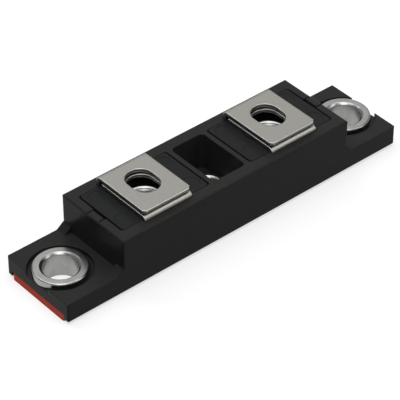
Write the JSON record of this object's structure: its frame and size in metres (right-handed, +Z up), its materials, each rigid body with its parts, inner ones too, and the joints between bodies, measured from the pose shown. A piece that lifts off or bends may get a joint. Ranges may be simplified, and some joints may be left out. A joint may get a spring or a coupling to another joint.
{
  "type": "schottky diode module",
  "caption": "Flat bolt-down power diode module: black moulded body on a copper base plate, flanged mounting bushings and doubled strap terminals over captive nuts.",
  "frame": {"origin": "centre of the base plate's underside", "axes": "+X along the row of mounting holes, +Y from the lower straps' legs towards the upper straps' legs, +Z up out of the base"},
  "size_m": [0.0922, 0.0204, 0.0165],
  "materials": {
    "housing_plastic": "satin black moulding",
    "carrier_plastic": "satin black moulding",
    "base_copper": "red-brown oxidised copper",
    "bushing_steel": "bright zinc plate, turned",
    "nut_steel": "bright zinc plate, turned",
    "terminal_plating": "matte nickel-plated copper",
    "solder": "reflowed solder",
    "buffer_metal": "ground molybdenum",
    "die_silicon": "metallised silicon",
    "gel": "clear soft silicone",
    "seal_adhesive": "cured silicone adhesive"
  },
  "bodies": {
    "root": {"housing": "housing_plastic", "base_plate": "base_copper", "base_seal": "seal_adhesive", "mounting_bushing_left": "bushing_steel", "mounting_bushing_right": "bushing_steel", "centre_bushing": "bushing_steel", "nut_carrier_left": "carrier_plastic", "nut_carrier_right": "carrier_plastic", "terminal_nut_left": "nut_steel", "terminal_nut_right": "nut_steel", "terminal_left": "terminal_plating", "terminal_right": "terminal_plating", "upper_terminal_left": "terminal_plating", "upper_terminal_right": "terminal_plating", "base_solder_left": "solder", "base_solder_right": "solder", "buffer_tab_left": "buffer_metal", "buffer_tab_right": "buffer_metal", "die_solder_left": "solder", "die_solder_right": "solder", "schottky_die_left": "die_silicon", "schottky_die_right": "die_silicon", "foot_solder_left": "solder", "foot_solder_right": "solder", "gel_fill_left": "gel", "gel_fill_right": "gel"}
  },
  "joints": []
}
